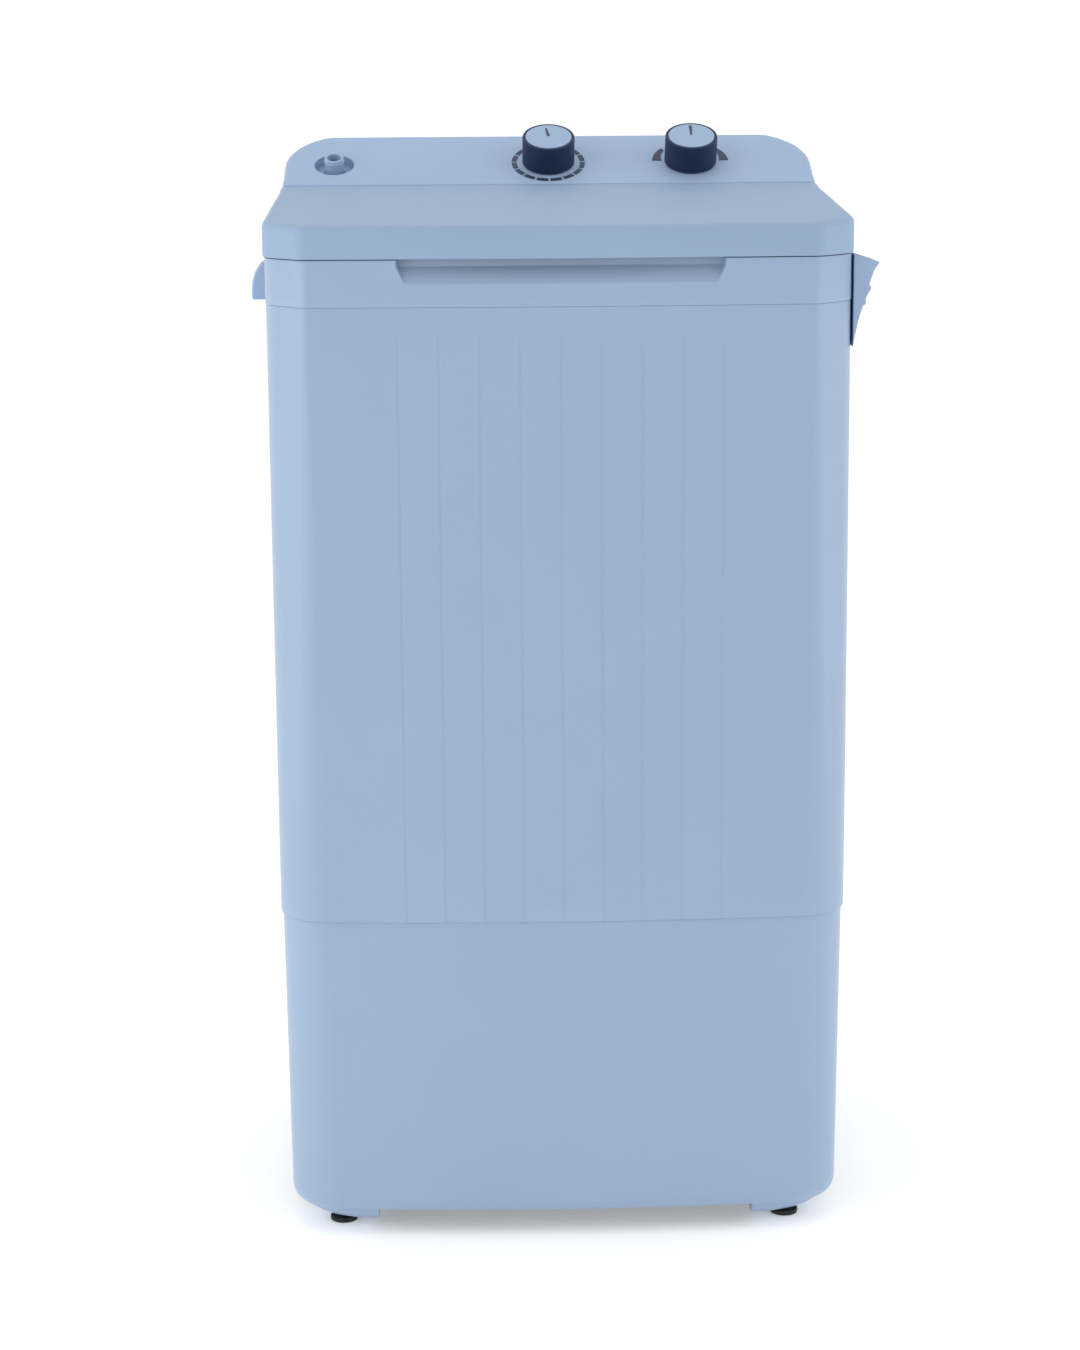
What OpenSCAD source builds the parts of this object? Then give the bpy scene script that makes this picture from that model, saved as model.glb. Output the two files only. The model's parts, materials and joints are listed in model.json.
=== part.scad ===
// Single tub washer: a tapered plastic cabinet on four feet, a hinged lid, a sloped
// control hood at the back, a belt driven pulsator and a knob operated drain valve.
// Millimetres. +Z is up, -Y is the front, and the origin is on the floor under the middle.

/* [Cabinet] */
// Width over the lid and the hood
body_w = 450; // [446:1:460]
// Depth over the lid and the hood
body_d = 400; // [398:1:408]
// Radius of the two front corners, seen from above
front_corner = 42; // [36:1:50]
// Radius of the two rear corners, seen from above
rear_corner = 52; // [44:1:58]
// How far the middle of the front stands out past its ends
front_bow = 7; // [4:0.5:8]
// Wall of the outer mouldings
wall = 3; // [2.5:0.5:3.5]

/* [Heights] */
// Underside of the skirt
skirt_z = 19.5; // [18:0.5:24]
// Seam between the skirt and the cabinet
seam_z = 260; // [256:1:268]
// Top of the cabinet, where the top frame sits
cabinet_z = 735; // [730:1:740]
// Top of the top frame, where the lid closes
frame_z = 770; // [768:1:774]

/* [Lid and control hood] */
// Height of the lid's top face at its front edge
lid_front_z = 794.5; // [794:0.5:798]
// Slope of the lid's top face, in degrees
lid_slope = 4.2; // [3.8:0.1:4.4]
// Slope of the control panel, in degrees
panel_slope = 28.6; // [27:0.2:29.4]
// Distance of the second knob from the middle
selector_x = 120.5; // [112:0.5:122]

/* [Controls] */
// Radius of a knob
knob_r = 22; // [19:0.5:24]
// Height of a knob
knob_h = 23.8; // [21:0.2:25]

/* [Tub and drive] */
// Half width of the tub at its mouth
tub_a = 202; // [196:1:204]
// Radius of the pulsator
pulsator_r = 105; // [90:1:112]
// Radius of the large pulley's rim
big_pulley_r = 78; // [70:1:80]

/* [Hidden] */

blue = [0.61, 0.70, 0.80];
pale_blue = [0.68, 0.77, 0.87];
navy = [0.11, 0.17, 0.27];
white = [0.88, 0.90, 0.92];
grey = [0.55, 0.57, 0.60];
steel = [0.72, 0.73, 0.75];
black = [0.10, 0.10, 0.11];

half_w = body_w / 2;
half_d = body_d / 2;
gap = 0.3;          // air between pieces that only lie against each other
press = 0.05;       // radial running clearance of a shaft in its bore

// How far each moulding stands inside the lid's outline
frame_inset = 1.2;
cabinet_inset = 1.6;
cabinet_low_inset = 2.4;
skirt_inset = 4;
skirt_low_inset = 6.2;

deck_z = frame_z - 13;  // upper face of the frame's deck
deck_t = 3;

// Lid hinge
lid_t = 2.5;
hinge_r = 4;
hinge_y = 91.3;
hinge_z = lid_front_z + (hinge_y + half_d) * tan(lid_slope) - hinge_r;
pin_r = 2;
post_x = 160;       // middle of each hinge post

// Control panel plane
panel_y = hinge_y + hinge_r + 0.7;
panel_z = hinge_z + hinge_r + 0.7;
panel_top_y = 165;
knob_s = 34.9;      // up the slope from the panel's lower edge to the knobs
inlet_s = 33.4;
inlet_x = -181;
knob_gap = 1;       // air under a knob
spindle_r = 3;

// Tub, open at the top
tub_f = -180;
tub_r = 80;
tub_t = 2.5;
tub_floor = 330;
tub_bottom = 326.5;
tub_rim = deck_z + 5;
flange_z = deck_z - deck_t;

// Drive
shaft_y = -50;
shaft_r = 8;
motor_y = 98;
motor_shaft_r = 5;
pulley_z = 95;
pulley_h = 14;
frame_plate_z = 240;
belt_gap = 0.4;
groove_r = big_pulley_r - 6;
small_groove_r = 12.5;

// Drain
valve_x = selector_x;
valve_y = 150;
spigot_y = 120;
spigot_z = 95;

// ---------- shapes that repeat ----------

function arc(cx, cy, r, from, to, n) =
    [for (i = [0:n]) [cx + r * cos(from + (to - from) * i / n), cy + r * sin(from + (to - from) * i / n)]];

// A rounded rectangle seen from above, anticlockwise: half width a, front y f, rear y r
function outline(a, f, r, rf, rr, bow = 0) = concat(
    [for (i = [1:7]) if (bow > 0) let (u = i / 4 - 1) [u * (a - rf), f + bow * u * u]],
    arc(a - rf, f + bow + rf, rf, -90, 0, 6),
    arc(a - rr, r - rr, rr, 0, 90, 6),
    arc(rr - a, r - rr, rr, 90, 180, 6),
    arc(rf - a, f + bow + rf, rf, 180, 270, 6));

// The machine's own outline, moved in by an inset
function body_outline(inset) =
    outline(half_w - inset, inset - half_d, half_d - inset, front_corner, rear_corner, front_bow);
function tub_outline(grow, corner = 60) =
    outline(tub_a + grow, tub_f - grow, tub_r + grow, corner, corner);

function level(points, z) = [for (p = points) [p[0], p[1], z]];
function body_ring(inset, z) = level(body_outline(inset), z);

// Side faces between ring k and the next one, clockwise from outside
function band(k, next, n) = [for (i = [0:n - 1]) let (j = (i + 1) % n)
    each [[k * n + i, next * n + i, next * n + j], [k * n + i, next * n + j, k * n + j]]];

// A solid whose skin runs through the rings in order, closed by the first and last ring
module loft(rings) {
    n = len(rings[0]);
    m = len(rings);
    polyhedron(points = [for (r = rings) each r], faces = concat(
        [[for (i = [0:n - 1]) i]],
        [for (k = [0:m - 2]) each band(k, k + 1, n)],
        [[for (i = [n - 1:-1:0]) (m - 1) * n + i]]));
}

// A solid whose skin runs through the rings and back to the first one
module loop_loft(rings) {
    n = len(rings[0]);
    m = len(rings);
    polyhedron(points = [for (r = rings) each r],
        faces = [for (k = [0:m - 1]) each band(k, (k + 1) % m, n)]);
}

// Rings of radius r square to a path, steadied by a vector that no stretch runs along
function unit(v) = v / norm(v);
function tangent(path, i) = unit(path[min(i + 1, len(path) - 1)] - path[max(i - 1, 0)]);
function path_rings(path, r, side, n) = [for (i = [0:len(path) - 1])
    let (t = tangent(path, i), u = unit(cross(t, side)), v = cross(t, u))
    [for (k = [0:n - 1]) path[i] + r * cos(360 * k / n) * u + r * sin(360 * k / n) * v]];
module cable(path, r, side, n = 8) {
    loft(path_rings(path, r, side, n));
}
module hose(path, r, bore, side, n = 12) {
    inner = path_rings(path, bore, side, n);
    last = len(path) - 1;
    loop_loft(concat(path_rings(path, r, side, n), [for (i = [last:-1:0]) inner[i]]));
}

// Flat outlines stood up: drawn in Y and Z and run along X, or drawn in X and Z and run along Y
module along_x(x0, x1) {
    translate([x0, 0, 0]) rotate([90, 0, 90]) linear_extrude(x1 - x0) children();
}
module along_y(y0, y1) {
    translate([0, y1, 0]) rotate([90, 0, 0]) linear_extrude(y1 - y0) children();
}
module block(lo, hi) {
    translate(lo) cube(hi - lo);
}
module rod(r, z0, z1, x = 0, y = 0) {
    translate([x, y, z0]) cylinder(r = r, h = z1 - z0, $fn = 48);
}
module ring(r, bore, z0, z1, x = 0, y = 0) {
    difference() {
        rod(r, z0, z1, x, y);
        rod(bore, z0 - 1, z1 + 1, x, y);
    }
}
module rod_y(r, y0, y1, x, z) {
    translate([x, y1, z]) rotate([90, 0, 0]) cylinder(r = r, h = y1 - y0, $fn = 48);
}
module rod_x(r, x0, x1, y, z) {
    translate([x0, y, z]) rotate([0, 90, 0]) cylinder(r = r, h = x1 - x0, $fn = 48);
}
// Stands on the control panel: x across, s up the slope, Z out of the panel
module on_panel(x, s) {
    translate([x, panel_y + s * cos(panel_slope), panel_z + s * sin(panel_slope)])
        rotate([panel_slope, 0, 0]) children();
}
module both_sides() {
    children();
    mirror([1, 0, 0]) children();
}

function lid_top(y) = lid_front_z + (y + half_d) * tan(lid_slope);

// ---------- outer mouldings ----------

skirt_edge = 14;    // height of the rounding at the skirt's foot
skirt_levels = [[skirt_z, 13.5], [skirt_z + 1.5, 10.6], [skirt_z + 4, 8.5], [skirt_z + 8, 7],
    [skirt_z + skirt_edge, skirt_low_inset], [seam_z, skirt_inset]];
tongue_z = seam_z + 10;

module base_skirt() {
    tongue_inset = cabinet_low_inset + wall + gap;
    inner = [for (i = [len(skirt_levels) - 1:-1:0]) body_ring(skirt_levels[i][1] + wall, skirt_levels[i][0])];
    color(blue) difference() {
        loop_loft(concat([for (l = skirt_levels) body_ring(l[1], l[0])],
            [body_ring(tongue_inset, seam_z), body_ring(tongue_inset, tongue_z),
                body_ring(tongue_inset + 2, tongue_z)], inner));
        block([-120, 150, 80], [120, 210, 240]);
        rod_x(11.5, 200, 230, spigot_y, spigot_z);
    }
}

guard_z = 60;
module base_guard() {
    color(grey) difference() {
        linear_extrude_at(guard_z, 2) polygon(body_outline(skirt_low_inset + wall + gap));
        for (x = [-120:30:120]) block([x - 6, -120, guard_z - 1], [x + 6, 40, guard_z + 3]);
    }
}
module linear_extrude_at(z, h) {
    translate([0, 0, z]) linear_extrude(h) children();
}

module cabinet_shell() {
    color(blue) difference() {
        loop_loft([body_ring(cabinet_low_inset, seam_z), body_ring(cabinet_inset, cabinet_z),
            body_ring(cabinet_inset + wall, cabinet_z), body_ring(cabinet_low_inset + wall, seam_z)]);
        block([-157, 185, 683], [-143, 210, 697]);
    }
}

recess_x = 122;     // half width of the finger recess at its mouth
recess_y = 12;      // its depth
spout_z = tub_rim + 1.5;
module recess_cut() {
    along_x(-recess_x, recess_x)
        polygon([[-half_d - 1, frame_z + 1], [recess_y - half_d, frame_z + 1],
            [recess_y - half_d, frame_z - 5], [-half_d - 1, frame_z - 19]]);
}

module hinge_post(x) {
    difference() {
        union() {
            block([x - 8, hinge_y - 3.4, deck_z - 1], [x + 8, hinge_y + 3.4, hinge_z]);
            rod_x(hinge_r - 0.1, x - 8, x + 8, hinge_y, hinge_z);
        }
        rod_x(pin_r + press, x - 9, x + 9, hinge_y, hinge_z);
    }
}

module top_frame() {
    in = frame_inset + wall;
    color(blue) difference() {
        union() {
            loop_loft([body_ring(frame_inset, cabinet_z), body_ring(frame_inset, frame_z),
                body_ring(in, frame_z), body_ring(in, cabinet_z)]);
            linear_extrude_at(flange_z, deck_t) polygon(body_outline(in - 1));
            for (x = [-post_x, post_x]) hinge_post(x);
            block([-recess_x - 3, 2 - half_d + front_bow, frame_z - 22],
                [recess_x + 3, recess_y + 2 - half_d, frame_z]);
        }
        linear_extrude_at(flange_z - 1, deck_t + 2) polygon(tub_outline(gap));
        recess_cut();
        rod(5, deck_z - 8, deck_z + 8, valve_x, valve_y);
        rod(8, deck_z - 8, deck_z + 8, -60, 165);
    }
}

hood_top_z = 854.6;
// Outline of the hood seen from above, smaller higher up
function hood_ring(inset, lean, z) = level(
    outline(half_w - inset, 60 + inset, half_d - inset - lean, 4, rear_corner), z);
module hood_body(inset, floor_z, profile) {
    intersection() {
        loft([hood_ring(inset, 0, floor_z), hood_ring(inset + 3.4, 26.5, hood_top_z + 4)]);
        along_x(-300, 300) polygon(profile);
    }
}
function panel_at(y, depth = 0) =
    panel_z + (y - panel_y) * tan(panel_slope) - depth / cos(panel_slope);

module control_hood() {
    outer = [[panel_y, frame_z], [panel_y, panel_z - 0.4], [panel_y + 0.3, panel_z],
        [panel_top_y, min(panel_at(panel_top_y), hood_top_z)], [panel_top_y + 3, hood_top_z],
        [230, hood_top_z], [230, frame_z]];
    inner = [[panel_y + wall, frame_z - 5], [panel_y + wall, panel_at(panel_y + wall, wall)],
        [panel_top_y, hood_top_z - wall - 0.5], [230, hood_top_z - wall - 0.5], [230, frame_z - 5]];
    color(pale_blue) difference() {
        union() {
            difference() {
                hood_body(0, frame_z, outer);
                hood_body(wall, frame_z - 6, inner);
            }
            block([wall + 2 - half_w, panel_y, deck_z],
                [half_w - wall - 2, panel_y + wall, frame_z + 2]);
            on_panel(inlet_x, inlet_s) rod(19, -11, -1);
        }
        on_panel(inlet_x, inlet_s) {
            rod(16.5, -8, 5);
            rod(9, -12, 0);
        }
        for (x = [0, selector_x]) on_panel(x, knob_s) rod(5, -8, 5);
        block([inlet_x - 11, panel_y - 2, spout_z - 1], [inlet_x + 11, panel_y + 5, spout_z + 14]);
    }
}

module rear_cover() {
    skin = [for (l = skirt_levels) body_ring(l[1] - 0.2, l[0])];
    out = [for (i = [len(skirt_levels) - 1:-1:0]) body_ring(skirt_levels[i][1] - 2.4, skirt_levels[i][0])];
    color(blue) difference() {
        intersection() {
            loop_loft([for (i = [len(out) - 1:-1:0]) out[i], for (i = [len(skin) - 1:-1:0]) skin[i]]);
            block([-132, 150, 68], [132, 210, 252]);
        }
        for (z = [100:12:220]) block([-60, 180, z], [60, 205, z + 4]);
    }
}

screw_x = 126;
module casing_screws() {
    slope = (skirt_low_inset - skirt_inset) / (seam_z - skirt_z - skirt_edge);
    color(steel) {
        for (x = [-screw_x, screw_x], z = [76, 160, 244]) {
            skin_y = half_d + 2.4 - skirt_low_inset + slope * (z - skirt_z - skirt_edge);
            rod_y(3.6, skin_y + 0.1, skin_y + 2, x, z);
        }
        for (x = [-110, 0, 110]) rod_y(3.6, half_d - frame_inset + 0.05, half_d + 1, x, deck_z - 2);
    }
}

foot_in = 149;
foot_low = 4;
pad_x = 178;
pad_y = 150;
module foot_bracket() {
    difference() {
        intersection() {
            loft([body_ring(33, foot_low), body_ring(27, foot_low + 2.5), body_ring(20.5, foot_low + 6.5),
                body_ring(16, foot_low + 11), body_ring(14, skirt_z)]);
            along_y(-pad_y - 50, 30 - pad_y) polygon(concat(arc(foot_in + 5, foot_low + 5, 5, 270, 180, 4),
                [[foot_in, skirt_z], [240, skirt_z], [240, foot_low]]));
        }
        rod(5, 0, 16, pad_x, -pad_y);
    }
}
module four_feet() {
    both_sides() {
        children();
        mirror([0, 1, 0]) children();
    }
}
module foot_brackets() {
    color(blue) four_feet() foot_bracket();
}
module foot_pads() {
    color(black) four_feet() {
        rod(11, 0, foot_low, pad_x, -pad_y);
        rod(5, foot_low - 1, 15, pad_x, -pad_y);
    }
}

// A lip on the top frame's side with a finger pocket open underneath
handle_y = 50;
module carry_handle() {
    side = half_w - frame_inset + gap;
    low = 732;
    difference() {
        along_y(-handle_y, handle_y) polygon([[side, 767], [side + 9.3, 760.5], [side + 13.4, 754],
            [side + 15.8, 746.5], [side + 16.4, 739], [side + 16.4, low], [side, low]]);
        along_y(3 - handle_y, handle_y - 3) polygon([[side + 1.5, 756], [side + 8.6, 753.5],
            [side + 12, 747], [side + 13.6, 740], [side + 13.6, low - 1], [side + 1.5, low - 1]]);
    }
}
module carry_handle_left() {
    color(blue) mirror([1, 0, 0]) carry_handle();
}
module carry_handle_right() {
    color(blue) carry_handle();
}

// A pocket for the end of the drain hose, wide at its mouth and tapering into the cabinet's side
hook_y0 = -150;
hook_y1 = -96;
module hose_hook() {
    side = half_w - frame_inset + gap;
    color(blue) difference() {
        along_y(hook_y0, hook_y1) polygon([[side, 769.5], [side + 19.7, 763.2], [side + 15.6, 757.2],
            [side + 13, 749.6], [side + 12, 746.6], [side + 13.6, 743.6], [side + 9.4, 736.1],
            [side + 9.5, 731.5], [side + 7.2, 730], [side + 4, 719.4], [side + 2.4, 711.9],
            [side + 0.8, 704.3], [side, 699]]);
        along_y(hook_y0 + 2.5, hook_y1 - 2.5) polygon([[side + 2.2, 775], [side + 18.4, 775],
            [side + 17.6, 763], [side + 13.6, 757], [side + 10.4, 747], [side + 7.4, 735.5],
            [side + 5.2, 729], [side + 3.4, 723], [side + 2.2, 721]]);
    }
}

// ---------- controls ----------

// Printed graduations round the timer knob: fifteen short bars of a ring
module timer_dial() {
    color(navy) on_panel(0, knob_s) for (i = [0:14])
        rotate([0, 0, 90 - 8 - i * 22.9]) translate([0, 0, 0.02])
            linear_extrude(0.4) polygon(concat(arc(0, 0, 31, -9.4, 9.4, 4), arc(0, 0, 27, 9.4, -9.4, 4)));
}
// Two tapering arcs beside the selector knob
module selector_dial() {
    color(navy) on_panel(selector_x, knob_s) both_sides() translate([0, 0, 0.02])
        linear_extrude(0.4) polygon([for (i = [0:6]) 32.4 * [cos(3 + 6.5 * i), sin(3 + 6.5 * i)],
            for (i = [6:-1:0]) (24.4 + 0.7 * i) * [cos(3 + 6.5 * i), sin(3 + 6.5 * i)]]);
}
module timer_body() {
    color(white) on_panel(0, knob_s) difference() {
        union() {
            block([-25, -20, -36], [25, 20, -wall - gap]);
            rod(4.7, -10, -0.5);
        }
        rod(spindle_r + press, -26, 0);
    }
}
module knob() {
    difference() {
        rod(knob_r, knob_gap, knob_gap + knob_h);
        rod(knob_r - 2, knob_gap - 1, knob_gap + 14);
        rod(knob_r - 2.5, knob_gap + knob_h - 1.3, knob_gap + knob_h + 1);
    }
    ring(6, spindle_r, knob_gap + 1, knob_gap + 16);
}
module knob_cap(turn) {
    z = knob_gap + knob_h - 1.3;
    difference() {
        rod(knob_r - 2.6, z, z + 1.5);
        rotate([0, 0, turn]) block([-1.2, 3, z + 0.9], [1.2, knob_r - 4.5, z + 2]);
    }
}
module timer_knob() { color(navy) on_panel(0, knob_s) knob(); }
module timer_knob_cap() { color(pale_blue) on_panel(0, knob_s) knob_cap(8); }
module timer_shaft() {
    color(steel) on_panel(0, knob_s) rod(spindle_r, -24, knob_gap + 14);
}
module selector_knob() { color(navy) on_panel(selector_x, knob_s) knob(); }
module selector_knob_cap() { color(pale_blue) on_panel(selector_x, knob_s) knob_cap(0); }
crank_z = -42;
crank_r = 10;
module selector_shaft() {
    color(steel) on_panel(selector_x, knob_s) {
        rod(spindle_r, crank_z, knob_gap + 14);
        rod(14, crank_z, crank_z + 4);
        rod(2, crank_z - 7, crank_z + 1, -crank_r, 0);
    }
}
module selector_bracket() {
    color(white) on_panel(selector_x, knob_s) difference() {
        union() {
            block([-22, -18, -22], [22, 18, -wall - gap]);
            rod(4.7, -10, -0.5);
        }
        rod(spindle_r + press, -23, 0);
    }
}
rod_top_z = 762;
strap_z = 788.5;
module drain_strap() {
    top = valve_x - crank_r;
    color(black) along_y(valve_y - 1, valve_y + 1) polygon([[valve_x - 3, rod_top_z + gap],
        [valve_x + 3, rod_top_z + gap], [top + 4, strap_z], [top - 4, strap_z]]);
}

// ---------- water ----------

module inlet_spigot() {
    color(white) on_panel(inlet_x, inlet_s) difference() {
        union() {
            rod(8, -8, 7);
            rod(8.6, -18, -8);
            rod(11.5, -14, -11.2);
        }
        rod(5.8, -20, 8);
    }
}
module inlet_spout() {
    x0 = inlet_x - 10;
    x1 = inlet_x + 10;
    color(white) difference() {
        union() {
            block([x0, 48, spout_z], [x1, 148, spout_z + 13]);
            rod(10, spout_z + 12, 806, inlet_x, 134);
            rod(12.5, 803, 813, inlet_x, 134);
        }
        block([x0 + 2, 44, spout_z + 2], [x1 - 2, 146, spout_z + 11]);
        rod(8, spout_z + 10, 810, inlet_x, 134);
        rod(11, 806.5, 816, inlet_x, 134);
    }
}
module cord_gland() {
    color(black) difference() {
        union() {
            block([-156.7, 186, 683.3], [-143.3, 199, 696.7]);
            rod_y(11, 198.6, 203, -150, 690);
            rod_y(11, 190, 193.5, -150, 690);
        }
        rod_y(3.6, 185, 204, -150, 690);
    }
}
module wiring_loom() {
    color(black) cable([[-29.3, 146, 806], [-38, 154, 796], [-50, 161, 783], [-58, 164, 770], [-60, 165, 752],
        [-60, 167, 720], [-60, 170, 650], [-60, 171, 560], [-60, 172, 470], [-60, 172, 380], [-58, 173, 320],
        [-50, 175, 282], [-38, 176, 252], [-26, 172, 226], [-16, 164, 208], [-12, 152, 200]], 4, [1, 0, 0]);
}

function tub_ring(grow, z, corner) = level(tub_outline(grow, corner), z);
module wash_tub() {
    outer = [tub_ring(-42, tub_bottom, 60), tub_ring(-27, tub_bottom + 4, 62), tub_ring(-17, tub_bottom + 16, 64),
        tub_ring(-12, tub_bottom + 45, 64), tub_ring(0, flange_z - 20, 60), tub_ring(0, flange_z - 3, 60),
        tub_ring(4.5, flange_z - 3, 60), tub_ring(4.5, flange_z, 60), tub_ring(0, flange_z, 60),
        tub_ring(0, tub_rim, 60)];
    inner = [tub_ring(-tub_t, tub_rim, 60), tub_ring(-tub_t, flange_z - 20, 60),
        tub_ring(-12 - tub_t, tub_floor + 43, 64), tub_ring(-19, tub_floor + 16, 64),
        tub_ring(-30, tub_floor + 3, 62), tub_ring(-42, tub_floor, 60)];
    color(white) difference() {
        union() {
            loft(concat(outer, inner));
            for (x = [-80, 80], y = [-110, 30]) rod(9, frame_plate_z + 3, tub_bottom + 1, x, y);
        }
        for (x = [-80, 80], y = [-110, 30]) rod(3, frame_plate_z, frame_plate_z + 30, x, y);
        rod(20, tub_bottom - 2, tub_floor + 2, 0, shaft_y);
        rod(16, tub_bottom - 2, tub_floor + 2, valve_x, 15);
        rod_y(11, 60, 90, 150, 640);
    }
}

// Ribbed plate over the water channel on the tub's rear wall
module channel_cover() {
    y = 58;
    color(white) difference() {
        union() {
            block([-52, y, 372], [52, y + 3, 596]);
            for (x = [-52, 49]) along_x(x, x + 3)
                polygon([[y, 372], [y + 6.8, 372], [y + 14, 596], [y + 17, 690], [y + 9, 690], [y, 600]]);
            for (x = [-40:16:40]) block([x - 2, y - 2, 380], [x + 2, y + 1, 590]);
        }
        for (x = [-32:16:32], z = [392:14:434]) rod_y(3.2, y - 3, y + 5, x, z);
    }
}
module lint_filter_frame() {
    y = 56;
    color(pale_blue) difference() {
        block([-46, y, 596.4], [46, y + 10, 690]);
        block([-38, y - 1, 610], [38, y + 11, 680]);
    }
    color(pale_blue) block([-14, y - 4, 684], [14, y + 0.5, 690]);
}
module lint_filter_net() {
    color(white) along_x(-37.8, 37.8) polygon([[57, 611], [53, 618], [47, 640], [50, 672], [57, 679],
        [60, 679], [60, 611]]);
}

module sump_duct() {
    color(grey) difference() {
        union() {
            rod(19, 292, tub_bottom - gap, valve_x, 15);
            rod_y(15, 14, valve_y - 22, valve_x, 307);
        }
        rod(15.5, 296, tub_bottom + 2, valve_x, 15);
        rod_y(12, 14, valve_y, valve_x, 307);
    }
}
module valve_body() {
    color(white) difference() {
        union() {
            rod(24, 283, 335, valve_x, valve_y);
            rod(12, 262, 284, valve_x, valve_y);
        }
        rod(21, 290, 336, valve_x, valve_y);
        rod(9.5, 260, 292, valve_x, valve_y);
        rod_y(15.2, valve_y - 30, valve_y, valve_x, 307);
    }
}
module valve_cap() {
    color(grey) difference() {
        union() {
            rod(26, 335, 341, valve_x, valve_y);
            rod(20.5, 331, 336, valve_x, valve_y);
        }
        rod(2.6, 320, 345, valve_x, valve_y);
    }
}
// A sliding piston: it closes the outlet bore until it is drawn up out of it
module valve_plug() {
    color(black) {
        rod(9.5 - press, 287, 304, valve_x, valve_y);
        rod(14, 303, 306, valve_x, valve_y);
    }
}
module valve_rod() {
    color(steel) {
        rod(2, 306, rod_top_z, valve_x, valve_y);
        rod(3.4, rod_top_z - 6, rod_top_z, valve_x, valve_y);
    }
}
// Wound wire: a ring of the wire's section carried up a helix
module valve_spring() {
    turns = 5;
    steps = 16;
    r = 11.5;
    z0 = 307.3;
    rise = 22.5;
    path = [for (i = [0:turns * steps]) let (a = 360 * i / steps)
        [valve_x + r * cos(a), valve_y + r * sin(a), z0 + rise * i / (turns * steps)]];
    color(steel) cable(path, 0.8, [0, 0, 1], 6);
}

module drain_pipe() {
    color(grey) hose([[valve_x, valve_y, 261.6], [valve_x, valve_y, 230], [valve_x, valve_y, 195],
        [valve_x + 1, 150, 165], [valve_x + 5, 148, 142], [valve_x + 14, 144, 122], [valve_x + 28, 136, 106],
        [valve_x + 45, 128, 98], [valve_x + 60, 122, 95], [valve_x + 72, spigot_y, spigot_z],
        [200, spigot_y, spigot_z]], 12, 9.5, [0, 1, 0]);
}
module drain_spigot() {
    color(white) difference() {
        union() {
            rod_x(11, 200.5, 245.2, spigot_y, spigot_z);
            rod_x(17, 219.8, 222.2, spigot_y, spigot_z);
            rod_x(14, 208, 211, spigot_y, spigot_z);
        }
        rod_x(8.5, 199, 247, spigot_y, spigot_z);
    }
}
module overflow_pipe() {
    color(grey) hose([[150, 82, 640], [150, 100, 640], [150, 112, 636], [151, 120, 626], [155, 124, 610],
        [160, 126, 560], [165, 126, 480], [168, 126, 400], [170, 128, 320], [170, 130, 250], [172, 130, 180],
        [176, 126, 145], [182, 121, 125], [190, 119, 112]], 9, 7, [1, 0, 0]);
}

// ---------- drive ----------

module bearing_housing() {
    color(steel) difference() {
        union() {
            rod(22, 130, tub_bottom - gap, 0, shaft_y);
            rod(45, tub_bottom - 8, tub_bottom - gap, 0, shaft_y);
        }
        rod(14, 129, 319, 0, shaft_y);
        rod(20, 318.5, 330, 0, shaft_y);
    }
}
module shaft_bushes() {
    color([0.75, 0.6, 0.35]) {
        ring(14, shaft_r + press, 132, 160, 0, shaft_y);
        ring(14, shaft_r + press, 288, 316, 0, shaft_y);
    }
}
module shaft_seal() {
    color(black) ring(20, shaft_r + press, 318.5, 331, 0, shaft_y);
}
module drive_shaft() {
    color(steel) difference() {
        rod(shaft_r, 90, 350, 0, shaft_y);
        rod(3, 334, 351, 0, shaft_y);
    }
}
// Dished disc with four swept vanes
module pulsator() {
    color(pale_blue) translate([0, shaft_y, 0]) difference() {
        union() {
            rotate_extrude($fn = 96) polygon([[0, 342], [0, 362], [16, 361], [24, 356], [40, 349], [70, 345],
                [94, 346], [pulsator_r - 1, 350], [pulsator_r, 348], [pulsator_r, 341], [96, 337], [60, 337],
                [30, 337], [24, 334], [12, 333], [12, 342]]);
            for (a = [0:90:270]) rotate([0, 0, a]) intersection() {
                rod(pulsator_r - 6, 340, 380);
                along_y(-5, 5) polygon([[10, 345], [10, 361], [40, 367], [70, 364], [95, 356], [99, 346]]);
            }
            rod(13, 333, 350);
        }
        rod(shaft_r, 330, 350);
        rod(3.1, 340, 380);
    }
}
module pulsator_screw() {
    color(steel) difference() {
        union() {
            rod(3, 336, 363, 0, shaft_y);
            rod(7, 362.2, 366, 0, shaft_y);
        }
        block([-6, shaft_y - 0.7, 364.6], [6, shaft_y + 0.7, 367]);
    }
}
module large_pulley() {
    color(grey) translate([0, shaft_y, 0]) difference() {
        rotate_extrude($fn = 96) polygon([[shaft_r, pulley_z - 1], [18, pulley_z - 1], [18, pulley_z + 4],
            [58, pulley_z + 4], [62, pulley_z], [big_pulley_r, pulley_z], [groove_r, pulley_z + 4],
            [groove_r, pulley_z + pulley_h - 4], [big_pulley_r, pulley_z + pulley_h], [62, pulley_z + pulley_h],
            [58, pulley_z + 9], [18, pulley_z + 9], [18, pulley_z + 22], [shaft_r, pulley_z + 22]]);
        for (a = [0:60:300]) rotate([0, 0, a]) rod(12, 90, 115, 39, 0);
    }
}
module belt_shape(extra) {
    hull() {
        translate([0, shaft_y]) circle(r = groove_r + extra, $fn = 96);
        translate([0, motor_y]) circle(r = small_groove_r + extra, $fn = 48);
    }
}
module drive_belt() {
    color(black) linear_extrude_at(pulley_z + 4.5, 5) difference() {
        belt_shape(belt_gap + 4.6);
        belt_shape(belt_gap);
    }
}
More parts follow.
